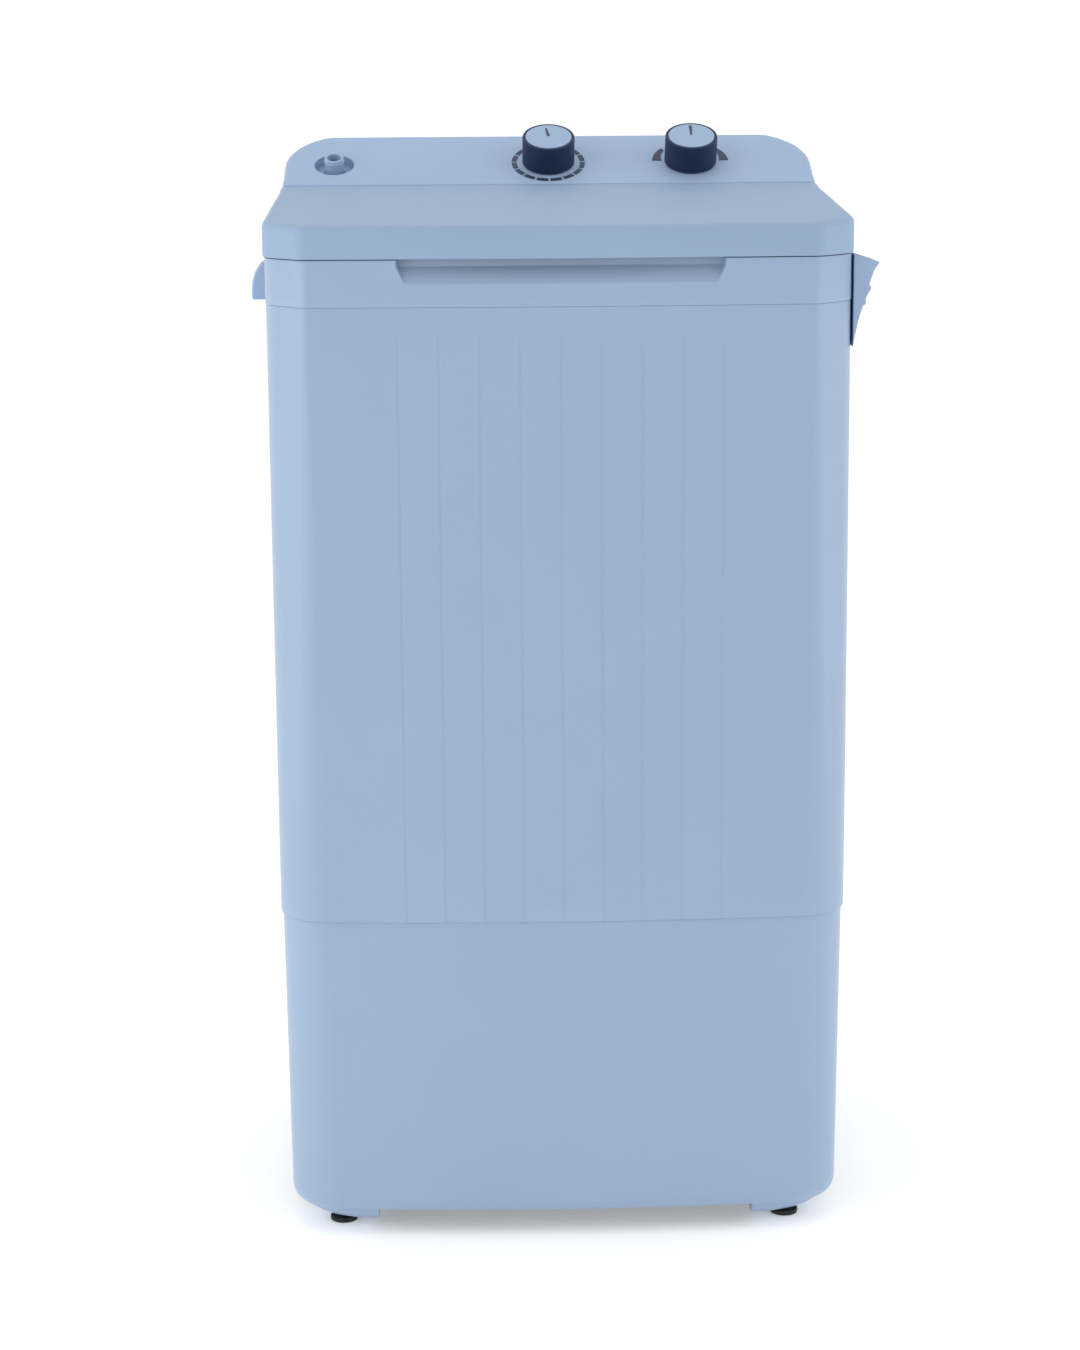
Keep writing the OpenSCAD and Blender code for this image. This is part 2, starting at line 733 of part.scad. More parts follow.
module motor_pulley() {
    color(steel) translate([0, motor_y, 0]) rotate_extrude($fn = 48) polygon([[motor_shaft_r, pulley_z],
        [18, pulley_z], [small_groove_r, pulley_z + 4], [small_groove_r, pulley_z + pulley_h - 4],
        [18, pulley_z + pulley_h], [motor_shaft_r, pulley_z + pulley_h]]);
}
module motor_shaft() { color(steel) rod(motor_shaft_r, 88, 232, 0, motor_y); }
module motor_fan() {
    color(white) translate([0, motor_y, 0]) {
        ring(12, motor_shaft_r, 112, 124);
        ring(40, 11, 122, 124);
        for (a = [0:45:315]) rotate([0, 0, a]) block([11, -0.8, 113], [39, 0.8, 123]);
    }
}
module motor_housing() {
    color(steel) translate([0, motor_y, 0]) difference() {
        union() {
            rod(52, 142, 212);
            rod(44, 128, 226);
            for (a = [45:90:315]) rotate([0, 0, a]) block([30, -11, 222], [62, 11, 227]);
        }
        rod(motor_shaft_r + press, 120, 230);
        for (a = [45:90:315]) rotate([0, 0, a]) rod(3.2, 210, 230, 54, 0);
    }
}
module at_motor_lugs() {
    translate([0, motor_y, 0]) for (a = [45:90:315]) rotate([0, 0, a]) translate([54, 0, 0]) children();
}
module motor_mounts() { color(black) at_motor_lugs() ring(9, 3.2, 227.3, frame_plate_z - gap); }
module motor_bolts() {
    color(steel) at_motor_lugs() {
        rod(3, 219, 249);
        rod(5.5, 216, 221.7);
        rod(5.5, 243.3, 248);
    }
}
module drive_frame() {
    color(steel) difference() {
        union() {
            block([-95, -125, frame_plate_z], [95, 160, frame_plate_z + 3]);
            for (x = [-95, 93]) block([x, -125, frame_plate_z - 14], [x + 2, 160, frame_plate_z + 1]);
        }
        rod(23, 230, 250, 0, shaft_y);
        at_motor_lugs() rod(3.2, 230, 250);
        for (x = [-80, 80], y = [-110, 30]) rod(3.2, 230, 250, x, y);
        rod(7, 230, 250, 0, motor_y);
    }
}
module frame_bolts() {
    color(steel) for (x = [-80, 80], y = [-110, 30]) {
        rod(2.9, frame_plate_z - 2, frame_plate_z + 26, x, y);
        rod(5.5, frame_plate_z - 5.4, frame_plate_z - 0.2, x, y);
    }
}
module capacitor() {
    color(white) {
        rod(17.5, frame_plate_z + 3, 300, -60, -10);
        rod(4, 299, 306, -66, -10);
        rod(4, 299, 306, -54, -10);
    }
}

// ---------- lid ----------

module lid() {
    low = frame_z + 0.6;
    y0 = -half_d - 10;
    rear = hinge_y - hinge_r;
    plan = outline(half_w, -half_d, hinge_y + hinge_r, front_corner, 2, front_bow);
    hollow = outline(half_w - lid_t, lid_t - half_d, hinge_y + hinge_r + 5, front_corner, 2, front_bow);
    color(blue) difference() {
        intersection() {
            linear_extrude_at(low, 60) polygon(plan);
            union() {
                along_x(-300, 300) polygon([[y0, low - 5], [y0, lid_top(y0)],
                    [hinge_y - hinge_r * sin(lid_slope), hinge_z + hinge_r * cos(lid_slope)],
                    [hinge_y, hinge_z], [hinge_y + 2, hinge_z - 3], [hinge_y + 2, low - 5]]);
                rod_x(hinge_r, -300, 300, hinge_y, hinge_z);
            }
        }
        intersection() {
            linear_extrude_at(frame_z - 5, 60) polygon(hollow);
            along_x(-300, 300) polygon([[y0, low - 10], [y0, lid_top(y0) - lid_t],
                [rear, lid_top(rear) - lid_t], [rear, hinge_z - hinge_r],
                [hinge_y + 20, hinge_z - hinge_r], [hinge_y + 20, low - 10]]);
        }
        for (s = [-1, 1]) {
            rod_x(pin_r, s * post_x - 16, s * post_x + 16, hinge_y, hinge_z);
            block([s * post_x - 8.6, rear - 0.4, hinge_z - 12],
                [s * post_x + 8.6, hinge_y + 12, hinge_z + 12]);
        }
    }
}
module lid_hinge_pins() {
    color(steel) for (s = [-1, 1]) rod_x(pin_r, s * post_x - 15, s * post_x + 15, hinge_y, hinge_z);
}
module lid_buffers() {
    color(black) for (x = [-195, 195]) rod(4, frame_z - 12.4, lid_top(-175) - lid_t - 0.3, x, -175);
}

// ---------- assembly ----------

base_skirt();
base_guard();
cabinet_shell();
top_frame();
control_hood();
rear_cover();
casing_screws();
foot_brackets();
foot_pads();
carry_handle_left();
carry_handle_right();
hose_hook();
timer_dial();
selector_dial();
timer_body();
selector_bracket();
drain_strap();
inlet_spigot();
inlet_spout();
cord_gland();
wiring_loom();
wash_tub();
channel_cover();
sump_duct();
valve_body();
valve_cap();
valve_spring();
drain_pipe();
drain_spigot();
overflow_pipe();
bearing_housing();
shaft_bushes();
shaft_seal();
drive_frame();
frame_bolts();
motor_housing();
motor_mounts();
motor_bolts();
capacitor();
drive_belt();
lid();
lid_hinge_pins();
lid_buffers();
timer_knob();
timer_knob_cap();
timer_shaft();
selector_knob();
selector_knob_cap();
selector_shaft();
valve_rod();
valve_plug();
pulsator();
pulsator_screw();
drive_shaft();
large_pulley();
motor_shaft();
motor_pulley();
motor_fan();
lint_filter_frame();
lint_filter_net();
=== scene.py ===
import json
from math import asin, atan, cos, pi, radians, sin, sqrt, tan

import bmesh
import bpy
from mathutils import Matrix, Vector
from mathutils.geometry import delaunay_2d_cdt

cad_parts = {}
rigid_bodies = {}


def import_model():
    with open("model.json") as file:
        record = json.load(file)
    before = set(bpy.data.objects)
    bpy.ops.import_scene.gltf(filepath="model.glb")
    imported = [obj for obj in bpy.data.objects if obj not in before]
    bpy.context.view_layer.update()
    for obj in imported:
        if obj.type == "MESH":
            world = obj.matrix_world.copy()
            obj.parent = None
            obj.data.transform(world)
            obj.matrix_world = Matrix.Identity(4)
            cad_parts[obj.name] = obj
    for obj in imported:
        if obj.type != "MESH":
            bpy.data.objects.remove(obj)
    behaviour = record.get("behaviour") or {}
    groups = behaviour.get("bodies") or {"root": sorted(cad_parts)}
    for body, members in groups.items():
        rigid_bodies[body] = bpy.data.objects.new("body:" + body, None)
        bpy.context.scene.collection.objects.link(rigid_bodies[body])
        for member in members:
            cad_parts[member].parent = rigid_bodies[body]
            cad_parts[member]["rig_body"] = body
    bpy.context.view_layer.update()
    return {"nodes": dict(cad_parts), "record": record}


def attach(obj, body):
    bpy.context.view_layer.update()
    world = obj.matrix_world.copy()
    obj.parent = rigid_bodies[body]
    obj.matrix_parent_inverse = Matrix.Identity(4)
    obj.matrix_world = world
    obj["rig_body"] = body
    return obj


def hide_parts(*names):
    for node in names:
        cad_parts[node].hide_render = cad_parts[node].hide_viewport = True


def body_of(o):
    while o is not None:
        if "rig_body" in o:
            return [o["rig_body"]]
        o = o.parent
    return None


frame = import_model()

MM = 0.001
nodes = frame["nodes"]

# ---------------------------------------------------------------- sizes, in millimetres

HALF_W, HALF_D = 225.0, 200.0
FRONT_R, REAR_R, BOW = 42.0, 52.0, 7.0
FRAME_IN, CAB_IN, CAB_LOW_IN, SKIRT_IN, SKIRT_LOW_IN = 1.2, 1.6, 2.4, 4.0, 6.2
SKIRT_Z, SKIRT_EDGE, SEAM_Z, CAB_Z, FRAME_Z = 19.5, 14.0, 260.0, 735.0, 770.0
DECK_Z, DECK_T = 757.0, 3.0
LID_Z, LID_SLOPE, PANEL_SLOPE = 794.5, radians(4.2), radians(28.6)
HINGE_Y, HINGE_R, POST_X = 91.3, 4.0, 160.0
HINGE_Z = LID_Z + (HINGE_Y + HALF_D) * tan(LID_SLOPE) - HINGE_R
PANEL_Y, PANEL_Z = HINGE_Y + HINGE_R + 0.7, HINGE_Z + HINGE_R + 0.7
HOOD_TOP, HOOD_NARROW, HOOD_LEAN, HOOD_RISE = 854.6, 3.4, 26.5, 88.6
KNOB_S, SELECTOR_X, INLET_X, INLET_S = 34.9, 120.5, -181.0, 33.4
WALL, SEAM_R = 3.0, 0.5


def lid_top(y):
    return LID_Z + (y + HALF_D) * tan(LID_SLOPE)


def lerp(a, b, t):
    return a + (b - a) * t


def clamp(t):
    return max(0.0, min(1.0, t))


def smooth(t):
    t = clamp(t)
    return t * t * (3 - 2 * t)


# ---------------------------------------------------------------- outlines seen from above

def corner(cx, cy, r, a0, a1, n):
    out = []
    for i in range(n + 1):
        a = radians(a0 + (a1 - a0) * i / n)
        out.append((cx + r * cos(a), cy + r * sin(a), cos(a), sin(a)))
    return out


def run(x0, y0, x1, y1, nx, ny, n):
    """n points between two corners, the ends left out."""
    return [(lerp(x0, x1, i / (n + 1)), lerp(y0, y1, i / (n + 1)), nx, ny) for i in range(1, n + 1)]


# The body's front corners: a tight bend, a nearly flat facet at an angle, and a wide bend into the side
BEND_R, BEND_STEPS, FACET_L, FACET_A, SIDE_R = 12.0, 5, 26.0, 52.0, 50.0


def front_corner(rf, facet, lean, n):
    """From the front face round to the side: (distance in from the side, distance back, normal's angle).
    facet 0 is a plain arc, and 1 a tight bend, a nearly flat facet and a wide bend into the side."""
    def sc(deg):
        return sin(radians(deg)), cos(radians(deg))

    (sl, cl), (sf, cf) = sc(lean), sc(FACET_A)
    whole = BEND_R * (sf - sl) + FACET_L * cf + SIDE_R * (1 - sf)
    out = []
    for i in range(n + 1):
        g = lerp(lean, 90, i / n)
        arc = (rf * (1 - sc(g)[0]), rf * (cl - sc(g)[1]), g)
        past = i - BEND_STEPS - 1
        h = lerp(FACET_A, 90, past / (n - BEND_STEPS - 1)) if past > 0 else \
            lerp(lean, FACET_A, min(i, BEND_STEPS) / BEND_STEPS)
        sh, ch = sc(h)
        if i <= BEND_STEPS:
            cut = (whole - BEND_R * (sh - sl), BEND_R * (cl - ch), h)
        else:
            cut = (SIDE_R * (1 - sh), BEND_R * (cl - cf) + FACET_L * sf + SIDE_R * (cf - ch), h)
        out.append(tuple(lerp(p, q, facet) for p, q in zip(arc, cut)))
    return out


def outline(a, f, r, rf, rr, bow=0.0, front=(), n=14, side=6, back=8, facet=0.0):
    """A rounded rectangle, anticlockwise from the front: (x, y, outward x, outward y).
    front lists the x of the points on its bowed front edge."""
    s = a - rf
    bend = front_corner(rf, facet, atan(2 * bow / s) * 180 / pi, n)
    pts = []
    for x in front:
        k = 2 * bow * x / (s * s)
        d = sqrt(1 + k * k)
        pts.append((x, f + bow * (x / s) ** 2, k / d, -1 / d))
    y0 = f + bow
    pts += [(a - u, y0 + v, sin(radians(g)), -cos(radians(g))) for u, v, g in bend]
    y0 += bend[-1][1]
    pts += run(a, y0, a, r - rr, 1, 0, side)
    pts += corner(a - rr, r - rr, rr, 0, 90, n)
    pts += run(a - rr, r, rr - a, r, 0, 1, back)
    pts += corner(rr - a, r - rr, rr, 90, 180, n)
    pts += run(-a, r - rr, -a, y0, -1, 0, side)
    y0 = f + bow
    pts += [(u - a, y0 + v, -sin(radians(g)), -cos(radians(g))) for u, v, g in reversed(bend)]
    return pts


FLUTE_GAP, FLUTE_HALF, FLUTE_DEEP, FLUTE_TOP = 30.5, 2.1, 0.5, 720.0
FLUTES = [FLUTE_GAP * k for k in range(-4, 5)]
FLUTE_STEPS = (-FLUTE_HALF, -1.1, -0.45, 0, 0.45, 1.1, FLUTE_HALF)
FLUTE_XS = sorted({round(x + d, 2) for x in FLUTES for d in FLUTE_STEPS}
                  | {-176, -160, -142, 142, 160, 176})
PLAIN_XS = [-176 + 22 * i for i in range(17)]


def body_ring(inset, front=PLAIN_XS, facet=0.0):
    return outline(HALF_W - inset, inset - HALF_D, HALF_D - inset, FRONT_R, REAR_R, BOW, front, facet=facet)


# ---------------------------------------------------------------- meshes

class Skin:
    """Collects rings of points in millimetres and the faces between them."""

    def __init__(self):
        self.v, self.f = [], []

    def ring(self, pts):
        k = len(self.v)
        self.v += [tuple(p) for p in pts]
        return list(range(k, k + len(pts)))

    def bridge(self, a, b, closed=True, skip=None):
        n = len(a)
        for i in range(n if closed else n - 1):
            j = (i + 1) % n
            if skip and skip(i):
                continue
            self.f.append((a[i], a[j], b[j], b[i]))

    def stack(self, rings, closed=True):
        ids = [self.ring(r) for r in rings]
        for a, b in zip(ids, ids[1:]):
            self.bridge(a, b, closed)
        return ids

    def wall(self, outer, inner, is_open):
        """Two skins of the same rings with the openings between them closed round their edges."""
        n = len(outer[0])
        for k in range(len(outer) - 1):
            gone = [is_open(i, k) for i in range(n)]
            self.bridge(outer[k], outer[k + 1], skip=lambda i: gone[i])
            self.bridge(inner[k + 1], inner[k], skip=lambda i: gone[i])
            for i in range(n):
                if not gone[i]:
                    continue
                j = (i + 1) % n
                if not gone[i - 1]:
                    self.f.append((outer[k][i], outer[k + 1][i], inner[k + 1][i], inner[k][i]))
                if not gone[j]:
                    self.f.append((outer[k][j], outer[k + 1][j], inner[k + 1][j], inner[k][j]))
                if k and not is_open(i, k - 1):
                    self.f.append((outer[k][i], outer[k][j], inner[k][j], inner[k][i]))
                if k + 2 < len(outer) and not is_open(i, k + 1):
                    self.f.append((outer[k + 1][i], outer[k + 1][j], inner[k + 1][j], inner[k + 1][i]))

    def prism(self, profile, place_a, place_b):
        """A flat outline carried from one place to another and closed at both ends."""
        a = self.ring([place_a(*p) for p in profile])
        b = self.ring([place_b(*p) for p in profile])
        self.bridge(a, b)
        self.cap(a)
        self.cap(b, True)

    def turned(self, profile, place, n=64):
        """A profile of (radius, height) turned about place's own axis."""
        rings = [[place(r * cos(2 * pi * i / n), r * sin(2 * pi * i / n), h) for i in range(n)]
                 for r, h in profile]
        return self.stack(rings)

    def cap(self, ids, flip=False):
        self.f.append(tuple(reversed(ids)) if flip else tuple(ids))

    def fill(self, outer, holes, flip=False):
        """A flat face with holes: outer and each hole are rings of vertex numbers, seen in plan."""
        loops = [outer] + holes
        ids = [i for l in loops for i in l]
        co = [Vector(self.v[i][:2]) for i in ids]
        edges, k = [], 0
        for l in loops:
            edges += [(k + i, k + (i + 1) % len(l)) for i in range(len(l))]
            k += len(l)
        vs, _, fs, origin, _, _ = delaunay_2d_cdt(co, edges, [], 0, 1e-5)
        rim = [[co[len(outer) + sum(map(len, holes[:h])) + i] for i in range(len(holes[h]))]
               for h in range(len(holes))]
        border = co[:len(outer)]
        for f in fs:
            c = sum((vs[i] for i in f), Vector((0, 0))) / len(f)
            if not inside(c, border) or any(inside(c, h) for h in rim):
                continue
            if any(not origin[i] for i in f):
                continue
            face = [ids[origin[i][0]] for i in f]
            self.f.append(tuple(reversed(face)) if flip else tuple(face))

    def obj(self, name, body, slot_name, replaces=None, sharp=35, merge=0.0005, bevel=0.0):
        me = bpy.data.meshes.new(name)
        me.from_pydata([tuple(c * MM for c in p) for p in self.v], [], self.f)
        bm = bmesh.new()
        bm.from_mesh(me)
        bmesh.ops.remove_doubles(bm, verts=bm.verts, dist=merge * MM)
        loose = [v for v in bm.verts if not v.link_faces]
        bmesh.ops.delete(bm, geom=loose, context="VERTS")
        bmesh.ops.recalc_face_normals(bm, faces=bm.faces)
        bm.to_mesh(me)
        bm.free()
        ob = bpy.data.objects.new(name, me)
        bpy.context.scene.collection.objects.link(ob)
        return dress(ob, body, slot_name, replaces, sharp, bevel)


def inside(p, loop):
    hit = False
    for i in range(len(loop)):
        a, b = loop[i - 1], loop[i]
        if (a[1] > p[1]) != (b[1] > p[1]) and p[0] < (b[0] - a[0]) * (p[1] - a[1]) / (b[1] - a[1]) + a[0]:
            hit = not hit
    return hit


def dress(ob, body, slot_name, replaces=None, sharp=35, bevel=0.0):
    """Shading, material and place in the frame for a finished piece."""
    me = ob.data
    me.materials.clear()
    me.materials.append(M[slot_name])
    me.polygons.foreach_set("use_smooth", [True] * len(me.polygons))
    me.set_sharp_from_angle(angle=radians(sharp))
    if bevel:
        b = ob.modifiers.new("edges", "BEVEL")
        b.width, b.segments = bevel * MM, 2
        b.limit_method, b.angle_limit = "ANGLE", radians(sharp + 5)
    w = ob.modifiers.new("normals", "WEIGHTED_NORMAL")
    w.keep_sharp = True
    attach(ob, body)
    if replaces:
        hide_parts(replaces)
    return ob


def at(pts, z):
    return [(p[0], p[1], z) for p in pts]


def offset(p, d):
    return p[0] - p[2] * d, p[1] - p[3] * d


# ---------------------------------------------------------------- materials

def new_mat(name):
    m = bpy.data.materials.new(name)
    m.use_nodes = True
    nt = m.node_tree
    return m, nt, nt.nodes["Principled BSDF"]


def link(nt, a, b):
    nt.links.new(a, b)


def noise(nt, scale, detail=2.0):
    tc = nt.nodes.new("ShaderNodeTexCoord")
    n = nt.nodes.new("ShaderNodeTexNoise")
    n.inputs["Scale"].default_value = scale
    n.inputs["Detail"].default_value = detail
    link(nt, tc.outputs["Object"], n.inputs["Vector"])
    return n.outputs["Fac"]


def ramp(nt, fac, stops):
    r = nt.nodes.new("ShaderNodeValToRGB")
    el = r.color_ramp.elements
    while len(el) < len(stops):
        el.new(0.5)
    for e, (p, c) in zip(el, stops):
        e.position = p
        e.color = (*c, 1)
    link(nt, fac, r.inputs["Fac"])
    return r.outputs["Color"]


def shade(c, k):
    return tuple(min(1.0, v * k) for v in c[:3])


def plastic(name, color, rough=0.42, spread=0.06, tone=0.03, grain=900.0, bump=0.02, spec=0.5):
    """Moulded plastic: slow tone drift, fine orange peel, uneven gloss and a painted highlight along the
    edges.
    """
    m, nt, b = new_mat(name)
    b.inputs["Specular IOR Level"].default_value = spec
    slow = noise(nt, 9.0, 3.0)
    col = ramp(nt, slow, [(0.3, shade(color, 1 - tone)), (0.7, shade(color, 1 + tone))])
    geo = nt.nodes.new("ShaderNodeNewGeometry")
    # painted highlight: convex edges, found by pointiness, are lightened towards a brighter copy of the colour
    edge = ramp(nt, geo.outputs["Pointiness"], [(0.5, (0, 0, 0)), (0.56, (1, 1, 1))])
    mix = nt.nodes.new("ShaderNodeMix")
    mix.data_type = "RGBA"
    mix.blend_type = "MIX"
    fac = nt.nodes.new("ShaderNodeMath")
    fac.operation = "MULTIPLY"
    fac.inputs[1].default_value = 0.16
    link(nt, edge, fac.inputs[0])
    link(nt, fac.outputs[0], mix.inputs["Factor"])
    link(nt, col, mix.inputs["A"])
    mix.inputs["B"].default_value = (*shade(color, 1.25), 1)
    link(nt, mix.outputs["Result"], b.inputs["Base Color"])
    patchy = noise(nt, 60.0, 4.0)
    r = ramp(nt, patchy, [(0.25, (rough - spread,) * 3), (0.75, (rough + spread,) * 3)])
    link(nt, r, b.inputs["Roughness"])
    peel = noise(nt, grain, 2.0)
    bp = nt.nodes.new("ShaderNodeBump")
    bp.inputs["Strength"].default_value = bump
    bp.inputs["Distance"].default_value = 0.0004
    link(nt, peel, bp.inputs["Height"])
    link(nt, bp.outputs["Normal"], b.inputs["Normal"])
    return m


def metal(name, color, rough=0.32, spread=0.12, brush=(40.0, 40.0, 900.0), bump=0.08):
    """Bare metal: drawn or cast grain, faint staining and uneven gloss."""
    m, nt, b = new_mat(name)
    b.inputs["Metallic"].default_value = 1.0
    tc = nt.nodes.new("ShaderNodeTexCoord")
    mp = nt.nodes.new("ShaderNodeMapping")
    mp.inputs["Scale"].default_value = brush
    n = nt.nodes.new("ShaderNodeTexNoise")
    n.inputs["Scale"].default_value = 1.0
    n.inputs["Detail"].default_value = 3.0
    link(nt, tc.outputs["Object"], mp.inputs["Vector"])
    link(nt, mp.outputs["Vector"], n.inputs["Vector"])
    stain = noise(nt, 30.0, 4.0)
    tint = ramp(nt, stain, [(0.3, shade(color, 0.86)), (0.7, shade(color, 1.08))])
    link(nt, tint, b.inputs["Base Color"])
    link(nt, ramp(nt, n.outputs["Fac"], [(0.3, (rough - spread,) * 3), (0.7, (rough + spread,) * 3)]),
         b.inputs["Roughness"])
    bp = nt.nodes.new("ShaderNodeBump")
    bp.inputs["Strength"].default_value = bump
    bp.inputs["Distance"].default_value = 0.0003
    link(nt, n.outputs["Fac"], bp.inputs["Height"])
    link(nt, bp.outputs["Normal"], b.inputs["Normal"])
    return m


def srgb(r, g, b):
    return tuple((c / 255 / 12.92) if c <= 10 else ((c / 255 + 0.055) / 1.055) ** 2.4 for c in (r, g, b))


BODY = srgb(146, 167, 193)
M = {
    "body_plastic": plastic("cabinet plastic", BODY, 0.34, 0.03, 0.012, bump=0.006, spec=0.4),
    # lid and panel take the cabinet's blue, made a little darker on the lid (painted shade) and lighter on the
    # panel (painted light), set for how the lamps fall on these upward faces
    "lid_plastic": plastic("lid plastic", srgb(143, 165, 191), 0.55, 0.02, 0.012, bump=0.006, spec=0.15),
    "panel_plastic": plastic("panel plastic", srgb(154, 175, 203), 0.5, 0.03, 0.012, bump=0.006, spec=0.2),
    "navy_plastic": plastic("knob plastic", srgb(25, 41, 72), 0.5, 0.06, 0.06, 1400.0, 0.03, spec=0.3),
    "disc_plastic": plastic("disc plastic", srgb(147, 170, 198), 0.45, bump=0.006, spec=0.3),
    "print_navy": plastic("printed ink", srgb(40, 54, 80), 0.55, 0.05, 0.10),
    "white_plastic": plastic("white plastic", (0.72, 0.75, 0.77), 0.45),
    "tub_plastic": plastic("tub plastic", (0.66, 0.71, 0.76), 0.32, 0.07, 0.02, 500.0, 0.03),
    "net": plastic("net", (0.78, 0.82, 0.86), 0.8, 0.08, 0.05, 2200.0, 0.4),
    "grey_plastic": plastic("grey plastic", (0.22, 0.24, 0.26), 0.5, 0.08, 0.08, 700.0, 0.06),
    "black_rubber": plastic("rubber", (0.022, 0.022, 0.025), 0.72, 0.1, 0.15, 1600.0, 0.15, spec=0.3),
    "steel": metal("turned steel", (0.56, 0.57, 0.58), 0.3),
    "galvanised": metal("galvanised sheet", (0.50, 0.52, 0.54), 0.45, 0.15, (90, 90, 90), 0.15),
    "cast": metal("cast alloy", (0.58, 0.59, 0.60), 0.5, 0.1, (400, 400, 400), 0.3),
    "bronze": metal("bearing bronze", (0.58, 0.40, 0.19), 0.4, 0.1, (300, 300, 300), 0.1),
    "loom": plastic("loom sleeve", (0.03, 0.03, 0.035), 0.6, 0.1, 0.1, 1800.0, 0.3),
}

for sub in frame["record"]["subparts"]:
    ob = nodes[sub["node"]]
    ob.data.materials.clear()
    ob.data.materials.append(M[sub["material_slot"]])


# ---------------------------------------------------------------- cabinet

ROUND_Z = 330.0   # the front corners are plain arcs from here down


def flute_depth(x, z):
    near = min(abs(x - c) for c in FLUTES)
    groove = clamp(1 - near / FLUTE_HALF) ** 0.8
    return FLUTE_DEEP * groove * smooth((FLUTE_TOP - z) / 16)


def cabinet_row(z, inset, flat=False):
    ring = body_ring(inset, FLUTE_XS, clamp((z - ROUND_Z) / (CAB_Z - ROUND_Z)))
    n = len(FLUTE_XS)
    out = []
    for i, p in enumerate(ring):
        d = flute_depth(p[0], z) if i < n and not flat else 0
        out.append((*offset(p, d), z))
    return out


def cab_inset(z):
    return lerp(CAB_LOW_IN, CAB_IN, (z - SEAM_Z) / (CAB_Z - SEAM_Z))


def build_cabinet():
    s = Skin()
    e = SEAM_R
    rows = [cabinet_row(SEAM_Z, CAB_LOW_IN + e, True)]
    rows += [cabinet_row(SEAM_Z + e - e * sin(a), CAB_LOW_IN + e * (1 - cos(a)))
             for a in (radians(60), radians(30), 0)]
    zs = [275, 320, 380, 440, 500, 560, 620, 670, 695, 702, 706, 710, 714, 718, 722, 729]
    rows += [cabinet_row(z, cab_inset(z)) for z in zs]
    rows += [cabinet_row(CAB_Z - e + e * sin(a), CAB_IN + e * (1 - cos(a)))
             for a in (0, radians(30), radians(60), radians(90))]
    rows += [cabinet_row(CAB_Z, CAB_IN + WALL, True), cabinet_row(SEAM_Z, CAB_LOW_IN + WALL, True)]
    s.stack(rows + rows[:1])
    s.obj("cabinet_moulding", "cabinet", "body_plastic", "cabinet_shell")


def skirt_inset(z):
    edge = SKIRT_Z + SKIRT_EDGE
    low = lerp(SKIRT_LOW_IN, SKIRT_IN, clamp((z - edge) / (SEAM_Z - edge)))
    c = clamp((edge - z) / SKIRT_EDGE)
    return low + 7.3 * (1 - sqrt(1 - c * c))


def build_skirt():
    s = Skin()
    rows = []
    for k in range(9, -1, -1):
        z = SKIRT_Z + SKIRT_EDGE * (1 - sin(radians(10 * k)))
        rows.append((z, skirt_inset(z)))
    rows += [(z, skirt_inset(z)) for z in (50, 68, 80, 110, 150, 200, 240, 252)]
    rows += [(SEAM_Z - SEAM_R + SEAM_R * sin(a), SKIRT_IN + SEAM_R * (1 - cos(a)))
             for a in (0, radians(45), radians(90))]
    ids = [s.ring(at(body_ring(i), z)) for z, i in rows]
    inner = [s.ring(at(body_ring(i + WALL), z)) for z, i in rows]
    pts = body_ring(5)

    def is_open(i, k):
        p, q = pts[i], pts[(i + 1) % len(pts)]
        z = (rows[k][0] + rows[k + 1][0]) / 2
        return p[3] > 0.9 and q[3] > 0.9 and abs((p[0] + q[0]) / 2) < 122 and 80 < z < 240

    s.wall(ids, inner, is_open)
    tongue = CAB_LOW_IN + WALL + 0.3
    top = s.stack([at(body_ring(tongue), SEAM_Z), at(body_ring(tongue), SEAM_Z + 10),
                   at(body_ring(tongue + 2), SEAM_Z + 10), at(body_ring(SKIRT_IN + WALL + 1), SEAM_Z)])
    s.bridge(ids[-1], top[0])
    s.bridge(top[-1], inner[-1])
    s.bridge(inner[0], ids[0])
    s.obj("skirt_moulding", "cabinet", "body_plastic", "base_skirt")


# ---------------------------------------------------------------- top frame

REC_TOP_X, REC_LOW_X, REC_D = 122.0, 116.0, 12.0
REC_LOW_Z, REC_TOP_Z = 752.0, 765.0
TUB_HALF, TUB_FRONT, TUB_BACK = 202.0, -180.0, 80.0


def recess_half(z):
    return lerp(REC_LOW_X, REC_TOP_X, clamp((z - REC_LOW_Z) / (REC_TOP_Z - REC_LOW_Z)))


def frame_row(z, inset, pocket=True, behind=0.0):
    """One level of the top frame, with the finger recess pressed into its front."""
    half = recess_half(z)
    marks = [half - 80, half - 40, half - 0.7, half - 0.25, half + 0.25, half + 0.9, half + 12, half + 30]
    xs = sorted([-m for m in marks] + [0.0] + marks)
    out = []
    for i, p in enumerate(body_ring(inset, xs, 1.0)):
        x, y = p[0], p[1]
        if pocket and i < len(xs):
            deep = clamp((z - REC_LOW_Z) / (REC_TOP_Z - REC_LOW_Z)) * clamp((half + 0.7 - abs(x)) / 1.4)
            y = lerp(y, max(y, REC_D + behind - HALF_D), deep)
        out.append((x, y, z))
    return out


RIB_STEP = 8   # points of the tub's outline from one rib to the next


def tub_ring(grow, z, radius=60.0, rib=0.0):
    """The tub's outline, with shallow upright ribs of height rib along it."""
    half, front, back = TUB_HALF + grow, TUB_FRONT - grow, TUB_BACK + grow
    xs = [lerp(-(half - radius), half - radius, i / 28) for i in range(29)]
    pts = outline(half, front, back, radius, radius, 0, xs[1:-1], 20, 12, 27)
    out = []
    for i, p in enumerate(pts):
        d = rib * max(0.0, cos(2 * pi * i / RIB_STEP)) ** 2
        out.append((*offset(p, d), z))
    return out


